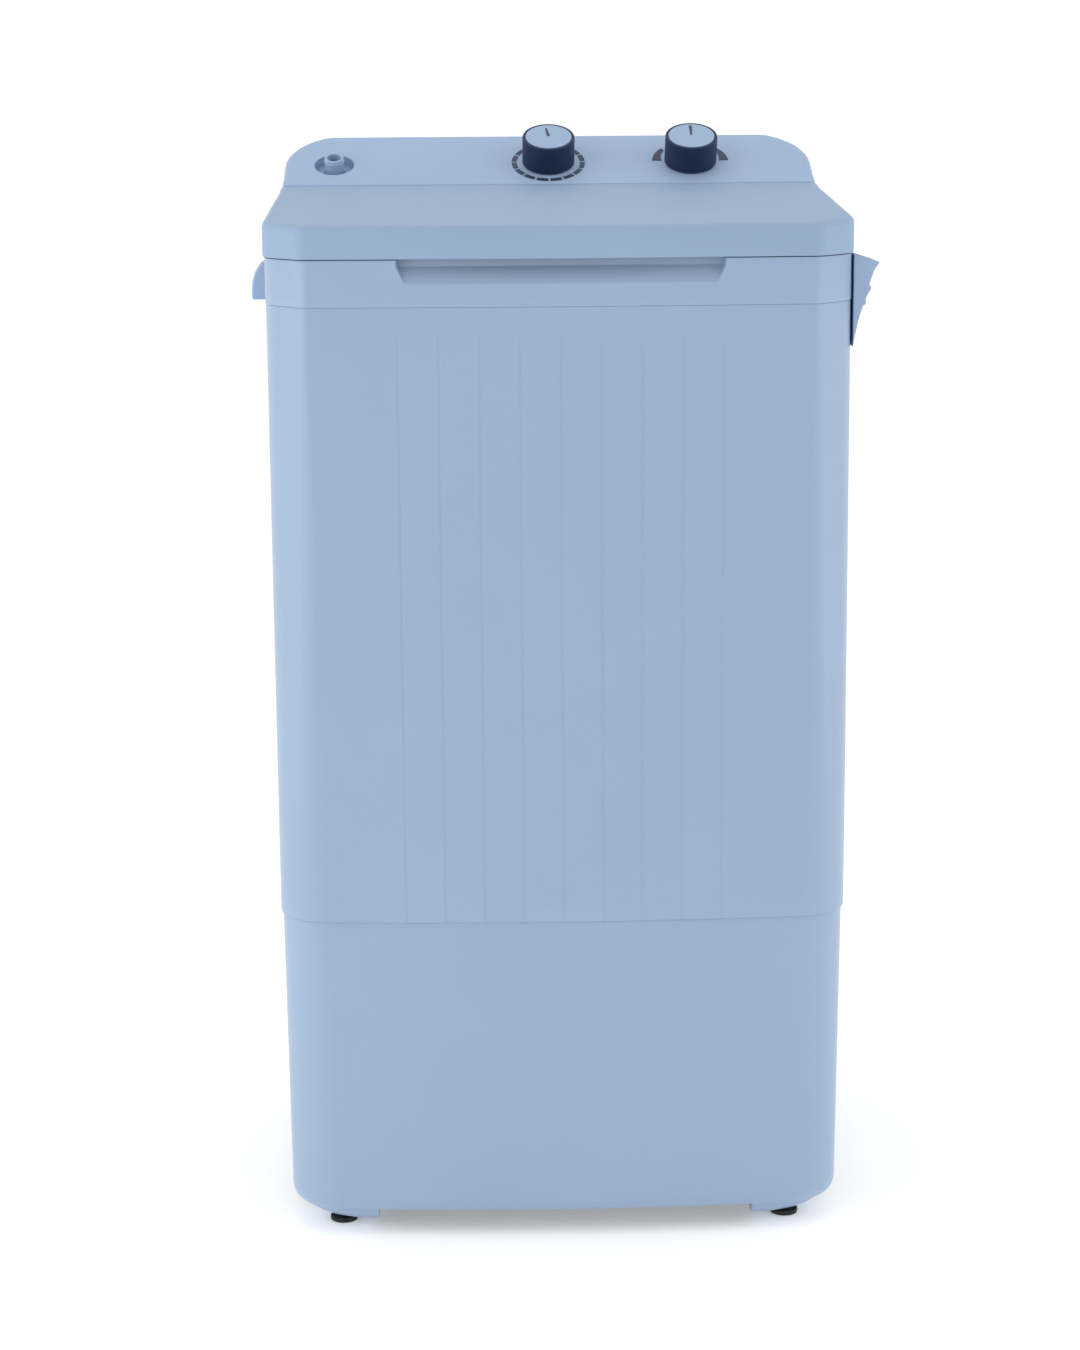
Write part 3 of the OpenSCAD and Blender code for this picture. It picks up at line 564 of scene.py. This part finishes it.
def build_frame():
    s = Skin()
    e = SEAM_R
    rows = [frame_row(CAB_Z, FRAME_IN + e)]
    rows += [frame_row(CAB_Z + e - e * sin(a), FRAME_IN + e * (1 - cos(a))) for a in (radians(45), 0)]
    zs = [742, 751.6, 752.2, 753.5, 756, 758.5, 761, 763.5, 764.6, 765.2, 767.5]
    rows += [frame_row(z, FRAME_IN) for z in zs]
    rows += [frame_row(FRAME_Z - e + e * sin(a), FRAME_IN + e * (1 - cos(a)))
             for a in (0, radians(30), radians(60), radians(90))]
    i = FRAME_IN + WALL
    rows += [frame_row(z, i, behind=2) for z in (FRAME_Z, FRAME_Z - 3, DECK_Z + 2)]
    rows += [frame_row(DECK_Z + 0.6, i + 0.6, behind=2), frame_row(DECK_Z, i + 2, behind=2)]
    ids = s.stack(rows)
    low = s.stack([frame_row(DECK_Z - DECK_T, i, False), frame_row(CAB_Z, i, False)])
    s.bridge(low[-1], ids[0])
    mouth = s.stack([tub_ring(1.3, DECK_Z), tub_ring(0.5, DECK_Z - 0.4), tub_ring(0.3, DECK_Z - 1.2),
                     tub_ring(0.3, DECK_Z - DECK_T)])
    s.fill(ids[-1], [mouth[0]])
    s.fill(low[0], [mouth[-1]], True)
    s.obj("top_frame_moulding", "cabinet", "body_plastic", "top_frame")
    for x in (-POST_X, POST_X):
        post = Skin()
        arc = [(HINGE_Y + 3.9 * cos(radians(a)), HINGE_Z + 3.9 * sin(radians(a))) for a in range(0, 181, 12)]
        prof = [(HINGE_Y + 3.4, DECK_Z - 0.5), (HINGE_Y + 3.4, HINGE_Z - 2)] + arc \
            + [(HINGE_Y - 3.4, HINGE_Z - 2), (HINGE_Y - 3.4, DECK_Z - 0.5)]
        post.prism(prof, lambda y, z: (x - 8, y, z), lambda y, z: (x + 8, y, z))
        post.obj("hinge_post_" + ("l" if x < 0 else "r"), "cabinet", "body_plastic", "top_frame", bevel=0.5)


# ---------------------------------------------------------------- control hood

def on_panel(x, s, h=0.0):
    c, d = cos(PANEL_SLOPE), sin(PANEL_SLOPE)
    return (x, PANEL_Y + s * c - h * d, PANEL_Z + s * d + h * c)


def circle_on_panel(x, s, r, h, n=48):
    return [on_panel(x + r * cos(2 * pi * i / n), s + r * sin(2 * pi * i / n), h) for i in range(n)]


def hood_at(x, s):
    """Places something that is turned about an axis square to the panel."""
    return lambda u, v, h: on_panel(x + u, s + v, h)


EDGE_R, LIP_R = 4.0, 0.7
POCKET_R, POCKET_DEPTH = 16.5, 8.0


def build_hood():
    s = Skin()
    crease_y = PANEL_Y + (HOOD_TOP - PANEL_Z) / tan(PANEL_SLOPE)
    t_top = (HOOD_TOP - FRAME_Z) / HOOD_RISE
    centre_y = HALF_D - (HOOD_NARROW + HOOD_LEAN) * t_top - REAR_R
    crease = asin(clamp((crease_y - centre_y) / (REAR_R - EDGE_R))) * 180 / pi
    turn = sorted({90 * i / 20 for i in range(21)} | {crease})

    def plan(t):
        """The hood's outline: a straight front at the hinge line, narrower and leaning forward with height."""
        a, r = HALF_W - HOOD_NARROW * t, HALF_D - (HOOD_NARROW + HOOD_LEAN) * t
        pts = [(lerp(1 - a, a - 1, i / 16), PANEL_Y, 0, -1) for i in range(17)]
        pts += corner(a - 1, PANEL_Y + 1, 1, -60, 0, 2)
        pts += run(a, PANEL_Y + 1, a, r - REAR_R, 1, 0, 8)
        pts += [(a - REAR_R + REAR_R * cos(radians(g)), r - REAR_R + REAR_R * sin(radians(g)),
                 cos(radians(g)), sin(radians(g))) for g in turn]
        pts += run(a - REAR_R, r, REAR_R - a, r, 0, 1, 14)
        pts += [(REAR_R - a - REAR_R * cos(radians(g)), r - REAR_R + REAR_R * sin(radians(g)),
                 -cos(radians(g)), sin(radians(g))) for g in reversed(turn)]
        pts += run(-a, r - REAR_R, -a, PANEL_Y + 1, -1, 0, 8)
        pts += corner(1 - a, PANEL_Y + 1, 1, 180, 240, 2)
        return pts

    def wall_point(i, z):
        return plan((z - FRAME_Z) / HOOD_RISE)[i]

    def top_at(y):
        return min(PANEL_Z + (y - PANEL_Y) * tan(PANEL_SLOPE), HOOD_TOP)

    count = len(plan(0))
    tops, edge = [], []
    for i in range(count):
        z = 830.0
        for _ in range(14):
            z = top_at(wall_point(i, z)[1])
        tops.append(z)
        edge.append(lerp(LIP_R, EDGE_R, smooth((wall_point(i, z)[1] - PANEL_Y) / 16)))
    rows = []
    for h, e in ((0, SEAM_R), (0.25, 0.13), (SEAM_R, 0.0), (6, 0.0)):
        rows.append([(*offset(wall_point(i, FRAME_Z + h), e), FRAME_Z + h) for i in range(count)])
    for t in (0.25, 0.5, 0.75):
        zs = [lerp(FRAME_Z + 6, tops[i] - edge[i], t) for i in range(count)]
        rows.append([(*wall_point(i, zs[i])[:2], zs[i]) for i in range(count)])
    for a in (0, 15, 30, 45, 60, 75, 90):
        row = []
        for i in range(count):
            r = edge[i]
            x, y = offset(wall_point(i, tops[i] - r * (1 - sin(radians(a)))), r * (1 - cos(radians(a))))
            row.append((x, y, top_at(y) - r * (1 - sin(radians(a)))))
        rows.append(row)
    ids = s.stack(rows)
    rim = ids[-1]
    right = 17 + 3 + 8 + turn.index(crease)
    left = 17 + 3 + 8 + len(turn) + 14 + (len(turn) - 1 - turn.index(crease))
    inlet = s.ring(circle_on_panel(INLET_X, INLET_S, POCKET_R + 0.5, 0, 64))
    spindles = [s.ring(circle_on_panel(x, KNOB_S, 5, 0, 24)) for x in (0, SELECTOR_X)]
    s.fill(rim[left:] + rim[:right + 1], [inlet] + spindles)
    s.cap(rim[right:left + 1])
    low = inlet
    for r, h in ((POCKET_R + 0.15, -0.15), (POCKET_R, -0.5), (POCKET_R, -7.2), (POCKET_R - 0.3, -7.8),
                 (POCKET_R - 0.9, -POCKET_DEPTH), (9, -POCKET_DEPTH), (9, -10.5)):
        ring = s.ring(circle_on_panel(INLET_X, INLET_S, r, h, 64))
        s.bridge(ring, low)
        low = ring
    for x, hole in zip((0, SELECTOR_X), spindles):
        s.bridge(s.ring(circle_on_panel(x, KNOB_S, 5, -3, 24)), hole)
    inner = [s.ring([(*offset(wall_point(i, FRAME_Z), WALL), FRAME_Z) for i in range(count)]),
             s.ring([(*offset(wall_point(i, tops[i] - 6), WALL), tops[i] - 6 - LIP_R) for i in range(count)])]
    s.bridge(inner[0], ids[0])
    s.bridge(inner[1], inner[0])
    s.obj("hood_moulding", "cabinet", "panel_plastic", "control_hood", sharp=30)
    apron = Skin()
    prof = [(PANEL_Y, DECK_Z + 0.2), (PANEL_Y, FRAME_Z + 2), (PANEL_Y + WALL, FRAME_Z + 2),
            (PANEL_Y + WALL, DECK_Z + 0.2)]
    apron.prism(prof, lambda y, z: (-219.5, y, z), lambda y, z: (219.5, y, z))
    apron.obj("hood_apron", "cabinet", "panel_plastic", "control_hood", bevel=0.4)
    spigot = Skin()
    prof = [(5.8, -18), (5.8, 6.5), (6.2, 7), (7.4, 7), (7.9, 6.7), (8, 6.2), (8, 4.6), (8.5, 4.2), (8.5, 3.2),
            (8, 2.8), (8, -8), (8.6, -8.2), (8.6, -11.2), (11.5, -11.2), (11.5, -14), (8.6, -14),
            (8.6, -18), (5.8, -18)]
    spigot.turned(prof, hood_at(INLET_X, INLET_S), 48)
    spigot.obj("water_spigot", "cabinet", "panel_plastic", "inlet_spigot", sharp=40)


# ---------------------------------------------------------------- knobs

def build_knob(body, x, lean, mark):
    place = hood_at(x, KNOB_S)
    knob = Skin()
    knob.turned([(0, 17), (3.05, 17), (3.05, 2), (6, 2), (6, 15), (20, 15), (20, 1.3), (20.3, 1), (21.6, 1),
                 (21.9, 1.15), (22, 1.5), (22, 12), (22, 23.4), (21.9, 24), (21.6, 24.5), (21.1, 24.75),
                 (20.6, 24.8), (19.9, 24.75), (19.6, 24.5), (19.5, 24), (19.5, 23.5), (0, 23.5)], place, 96)
    knob.obj(body + "_knob_body", body, "navy_plastic", body + "_knob", sharp=45)
    cap = Skin()
    cap.turned([(0, 23.55), (19.35, 23.55), (19.4, 24.5), (19.3, 24.75), (19.0, 24.9), (18.5, 24.97),
                (12, 25.0), (0, 25.0)], place, 96)
    cap.obj(body + "_knob_disc", body, "disc_plastic", body + "_knob_cap", sharp=45)
    pointer = Skin()
    c, d = cos(lean), sin(lean)
    outline_pts = [(u * c - v * d, u * d + v * c) for u, v in mark]
    pointer.prism(outline_pts, lambda u, v: place(u, v, 24.9), lambda u, v: place(u, v, 25.12))
    pointer.obj(body + "_pointer", body, "print_navy", body + "_knob_cap", bevel=0.05)


# ---------------------------------------------------------------- lid

LID_EDGE, LID_T = 6.0, 2.5


def build_lid():
    s = Skin()
    low = FRAME_Z + 0.6
    rear = HINGE_Y + HINGE_R
    base = outline(HALF_W, -HALF_D, rear, FRONT_R, 4.0, BOW, PLAIN_XS, 14, 10, 16, 1.0)

    def radius(p):
        return lerp(LID_EDGE, HINGE_R, smooth((p[1] - rear + 16) / 12))

    def row(inset, drop, z=None):
        """inset(p) and drop(p) say how far the row stands in from the outline and down from the top face."""
        out = []
        for p in base:
            x, y = offset(p, inset(p))
            out.append((x, y, z if z is not None else lid_top(y) - drop(p)))
        return out

    outer = [row(lambda p: SEAM_R * (1 - cos(k)), None, low + SEAM_R * (1 - sin(k)))
             for k in (pi / 2, pi / 4, 0)]
    outer.append(row(lambda p: 0.0, lambda p: radius(p) + 0.5 * (lid_top(p[1]) - radius(p) - low)))
    outer.append(row(lambda p: 0.0, radius))
    inner = [row(lambda p: LID_T, None, z) for z in (low, low + 0.2, low + 1)]
    inner.append(row(lambda p: LID_T, lambda p: radius(p) + 0.5 * (lid_top(p[1]) - radius(p) - low)))
    inner.append(row(lambda p: LID_T, lambda p: LID_T + 3.5))
    oid, iid = [s.ring(r) for r in outer], [s.ring(r) for r in inner]
    n = len(base)

    def is_open(i, k):
        return base[i][3] > 0.9 and base[(i + 1) % n][3] > 0.9

    s.wall(oid, iid, is_open)
    for i in range(n):
        if is_open(i, 0):
            j = (i + 1) % n
            s.f.append((oid[-1][i], oid[-1][j], iid[-1][j], iid[-1][i]))
        else:
            s.f.append((oid[0][i], oid[0][(i + 1) % n], iid[0][(i + 1) % n], iid[0][i]))
    last = oid[-1]
    for a in range(15, 91, 15):
        k = radians(a)
        ring = s.ring(row(lambda p: radius(p) * (1 - cos(k)), lambda p: radius(p) * (1 - sin(k))))
        s.bridge(last, ring)
        last = ring
    s.fill(last, [])
    last = iid[-1]
    for inset, drop in ((2.9, 1.4), (3.9, 0.0)):
        ring = s.ring(row(lambda p: inset, lambda p: LID_T + drop))
        s.bridge(ring, last)
        last = ring
    s.fill(last, [], True)
    ob = s.obj("lid_moulding", "lid_body", "lid_plastic", sharp=30)
    cut_slots(ob)
    barrel = Skin()
    for x0, x1 in ((-220, -POST_X - 8.6), (8.6 - POST_X, POST_X - 8.6), (POST_X + 8.6, 220)):
        ring = [(HINGE_Y + 3.95 * cos(pi * i / 14), HINGE_Z + 3.95 * sin(pi * i / 14)) for i in range(28)]
        barrel.prism(ring, lambda y, z: (x0, y, z), lambda y, z: (x1, y, z))
    barrel.obj("lid_barrel", "lid_body", "lid_plastic", "lid", merge=0)
    ribs = Skin()
    for x in (-150, -90, -30, 30, 90, 150):
        prof = [(y, lid_top(y) - LID_T - d) for y, d in ((-190, -0.2), (80, -0.2), (80, 5.5), (-190, 5.5))]
        ribs.prism(prof, lambda y, z: (x - 0.9, y, z), lambda y, z: (x + 0.9, y, z))
    for y in (-140, -70, 0, 60):
        z = lid_top(y) - LID_T
        prof = [(y - 0.9, z + 0.2), (y + 0.9, z + 0.2), (y + 0.9, z - 4.5), (y - 0.9, z - 4.5)]
        ribs.prism(prof, lambda v, w: (-208, v, w), lambda v, w: (208, v, w))
    ribs.obj("lid_ribs", "lid_body", "lid_plastic", "lid", merge=0, bevel=0.3)


def cut_slots(ob):
    """Openings for the two hinge posts in the lid's rear edge, cut and kept in the mesh."""
    bm = bmesh.new()
    for x in (-POST_X, POST_X):
        m = Matrix.Translation((x * MM, (HINGE_Y + 6) * MM, HINGE_Z * MM))
        size = Matrix.Diagonal((17.2 * MM, 20.8 * MM, 30 * MM, 1))
        bmesh.ops.create_cube(bm, size=1, matrix=m @ size)
    cut = bpy.data.meshes.new("post slots")
    bm.to_mesh(cut)
    bm.free()
    tool = bpy.data.objects.new("post slots", cut)
    bpy.context.scene.collection.objects.link(tool)
    boolean = ob.modifiers.new("slots", "BOOLEAN")
    boolean.operation, boolean.solver, boolean.object = "DIFFERENCE", "EXACT", tool
    ob.modifiers.move(len(ob.modifiers) - 1, 0)
    bpy.context.view_layer.update()
    me = bpy.data.meshes.new_from_object(ob.evaluated_get(bpy.context.evaluated_depsgraph_get()))
    ob.modifiers.clear()
    ob.data = me
    bpy.data.objects.remove(tool)
    dress(ob, "lid_body", "lid_plastic", "lid", 30)


# ---------------------------------------------------------------- tub

TUB_FLOOR, TUB_BOTTOM = 330.0, 326.5
SHAFT_Y, HUB_R, SUMP_Y, SUMP_R = -50.0, 20.0, 15.0, 16.0


def build_tub():
    s = Skin()
    flange = DECK_Z - DECK_T
    outer = [(-42, TUB_BOTTOM, 60), (-34, TUB_BOTTOM + 1, 60), (-27, TUB_BOTTOM + 4, 62),
             (-20, TUB_BOTTOM + 10, 63), (-17, TUB_BOTTOM + 16, 64), (-12, TUB_BOTTOM + 45, 64),
             (0, flange - 20, 60), (0, flange - 3, 60), (4.5, flange - 3, 60), (4.5, flange - 0.2, 60),
             (0, flange - 0.2, 60), (0, DECK_Z + 4.3, 60), (-0.4, DECK_Z + 4.9, 60), (-1.2, DECK_Z + 5, 60),
             (-2.1, DECK_Z + 4.9, 60), (-2.5, DECK_Z + 4.3, 60)]
    rings = [tub_ring(g, z, r) for g, z, r in outer]
    rings += [tub_ring(-2.5, z, 60) for z in (flange - 4, flange - 20)]
    rings += [tub_ring(lerp(-2.5, -14.5, t), lerp(flange - 20, 373, t), 60 + 4 * t, 1.6 * smooth(t * 12))
              for t in (0.02, 0.05, 0.1, 0.3, 0.6, 0.9, 0.97)]
    rings += [tub_ring(*g) for g in ((-14.6, 372, 64), (-16, 358, 64), (-19, 346, 64), (-23.5, 337, 63),
                                     (-30, 332.2, 62), (-36, 330.5, 61), (-42, 330, 60))]
    ids = s.stack(rings)

    def circle(x, y, z, r, n):
        return s.ring([(x + r * cos(2 * pi * i / n), y + r * sin(2 * pi * i / n), z) for i in range(n)])

    sump = [circle(SELECTOR_X, SUMP_Y, z, SUMP_R, 40) for z in (TUB_FLOOR, TUB_BOTTOM)]
    hub = [circle(0, SHAFT_Y, z, HUB_R, 40) for z in (TUB_FLOOR, TUB_BOTTOM)]
    dish = [circle(0, SHAFT_Y, TUB_FLOOR + dz, r, 96)
            for r, dz in ((116, 0), (113, 0.6), (111, 1.4), (109, 0.8), (107, -0.2), (104, -1))]
    for a, b in zip(dish, dish[1:]):
        s.bridge(a, b)
    s.fill(ids[-1], [dish[0], sump[0]])
    s.fill(dish[-1], [hub[0]])
    s.fill(ids[0], [sump[1], hub[1]], True)
    for a, b in (sump, hub):
        s.bridge(b, a)
    s.obj("tub_moulding", "cabinet", "tub_plastic", "wash_tub", sharp=32)
    posts = Skin()
    prof = [(3, 243), (9, 243), (9, 244), (9.6, 318), (11.5, TUB_BOTTOM + 1), (3, TUB_BOTTOM + 1), (3, 243)]
    for x in (-80, 80):
        for y in (-110, 30):
            posts.turned(prof, lambda u, v, h: (x + u, y + v, h), 32)
    posts.obj("tub_posts", "cabinet", "tub_plastic", "wash_tub", sharp=40)


# ---------------------------------------------------------------- the other pieces

# Width of each piece's eased edges in millimetres
BEVEL = {"carry_handle_left": 2.2, "carry_handle_right": 2.2, "hose_hook": 1.2, "foot_brackets": 0.8,
         "foot_pads": 0.8, "rear_cover": 0.6, "casing_screws": 0.5, "cord_gland": 0.7, "drain_spigot": 0.6,
         "base_guard": 0.3, "pulsator": 1.6, "pulsator_screw": 0.5, "lint_filter_frame": 1.2,
         "lint_filter_net": 2.0, "channel_cover": 0.8, "lid_buffers": 0.8, "motor_housing": 1.5,
         "large_pulley": 0.8, "timer_dial": 0.05, "selector_dial": 0.05, "wiring_loom": 0.0,
         "valve_spring": 0.0, "drain_pipe": 0.0, "overflow_pipe": 0.0}


def refine(name, body, slot_name):
    """A finished copy of a plain node: clean faces, eased edges and smooth shading."""
    bm = bmesh.new()
    bm.from_mesh(nodes[name].data)
    bmesh.ops.remove_doubles(bm, verts=bm.verts, dist=2e-6)
    bmesh.ops.dissolve_limit(bm, angle_limit=radians(0.5), verts=bm.verts, edges=bm.edges)
    me = bpy.data.meshes.new(name + "_part")
    bm.to_mesh(me)
    bm.free()
    ob = bpy.data.objects.new(name + "_part", me)
    bpy.context.scene.collection.objects.link(ob)
    dress(ob, body, slot_name, name, 32, BEVEL.get(name, 0.4))


PAINTED_LIGHT_PARTS = ("hose_hook", "carry_handle_left")   # painted light: the panel's lighter plastic stands in for the side lamps falling on the left handle and the hook

build_cabinet()
build_skirt()
build_frame()
build_hood()
build_lid()
build_tub()
build_knob("timer", 0.0, radians(8), [(-0.7, 14), (0.7, 14), (1.5, 0.5), (-1.5, 0.5)])
build_knob("selector", SELECTOR_X, 0.0, [(-1.4, 16.5), (1.4, 16.5), (0.8, 0.5), (-0.8, 0.5)])
for sub in frame["record"]["subparts"]:
    if not nodes[sub["node"]].hide_render:
        # painted light: the lit left handle and hook take the panel's lighter plastic
        slot_name = "panel_plastic" if sub["node"] in PAINTED_LIGHT_PARTS else sub["material_slot"]
        refine(sub["node"], body_of(nodes[sub["node"]])[0], slot_name)

# ---------------------------------------------------------------- stage, light and camera

scene = bpy.context.scene
world = bpy.data.worlds.new("studio")
scene.world = world
world.use_nodes = True
world.node_tree.nodes["Background"].inputs["Color"].default_value = (1, 1, 1, 1)
world.node_tree.nodes["Background"].inputs["Strength"].default_value = 0.75
scene.view_settings.view_transform = "Standard"

floor_me = bpy.data.meshes.new("floor")
bm = bmesh.new()
prev = None
prof = [(-4.5, 0.0), (3.0, 0.0)] + [(3.0 + 2.0 * sin(radians(a)), 2.0 - 2.0 * cos(radians(a)))
                                    for a in range(10, 91, 10)] + [(5.0, 6.0)]
for y, z in prof:
    row = [bm.verts.new((x, y, z)) for x in (-7, 7)]
    if prev:
        bm.faces.new((prev[0], prev[1], row[1], row[0]))
    prev = row
bm.to_mesh(floor_me)
bm.free()
floor = bpy.data.objects.new("floor", floor_me)
scene.collection.objects.link(floor)
floor_mat, nt, b = new_mat("floor")
b.inputs["Roughness"].default_value = 0.9
tone = ramp(nt, noise(nt, 3.0, 4.0), [(0.3, (0.90,) * 3), (0.7, (0.92,) * 3)])
link(nt, tone, b.inputs["Base Color"])
b.inputs["Emission Color"].default_value = (1, 1, 1, 1)
b.inputs["Emission Strength"].default_value = 0.25
floor_me.materials.append(floor_mat)
for p in floor_me.polygons:
    p.use_smooth = True


def area(name, loc, target, size, power):
    lamp = bpy.data.lights.new(name, "AREA")
    lamp.shape = "RECTANGLE"
    lamp.size, lamp.size_y = size
    lamp.energy = power
    o = bpy.data.objects.new(name, lamp)
    scene.collection.objects.link(o)
    o.location = loc
    o.rotation_mode = "QUATERNION"
    o.rotation_quaternion = (Vector(target) - Vector(loc)).to_track_quat("-Z", "Y")


area("left box", (-1.95, -0.85, 0.9), (-0.1, 0, 0.5), (2.4, 2.6), 24)
area("right box", (1.9, -0.55, 0.9), (0.1, 0, 0.5), (1.8, 2.6), 14)
area("top", (0, 0.1, 2.6), (0, 0, 0.6), (2.4, 2.0), 9)

cam_data = bpy.data.cameras.new("camera")
cam = bpy.data.objects.new("camera", cam_data)
scene.collection.objects.link(cam)
cam_data.lens, cam_data.sensor_width = 76.37, 36.0
cam_data.clip_start, cam_data.clip_end = 0.05, 50
PITCH, YAW, ROLL = 0.1995, 0.0243, -0.0070
fwd = Vector((sin(YAW) * cos(PITCH), cos(YAW) * cos(PITCH), -sin(PITCH)))
right = Vector((cos(YAW), -sin(YAW), 0))
up = right.cross(fwd)
r2 = right * cos(ROLL) + up * sin(ROLL)
u2 = up * cos(ROLL) - right * sin(ROLL)
m = Matrix((r2, u2, -fwd)).transposed().to_4x4()
m.translation = Vector((-0.06995, -2.33729, 0.88858))
cam.matrix_world = m
scene.camera = cam
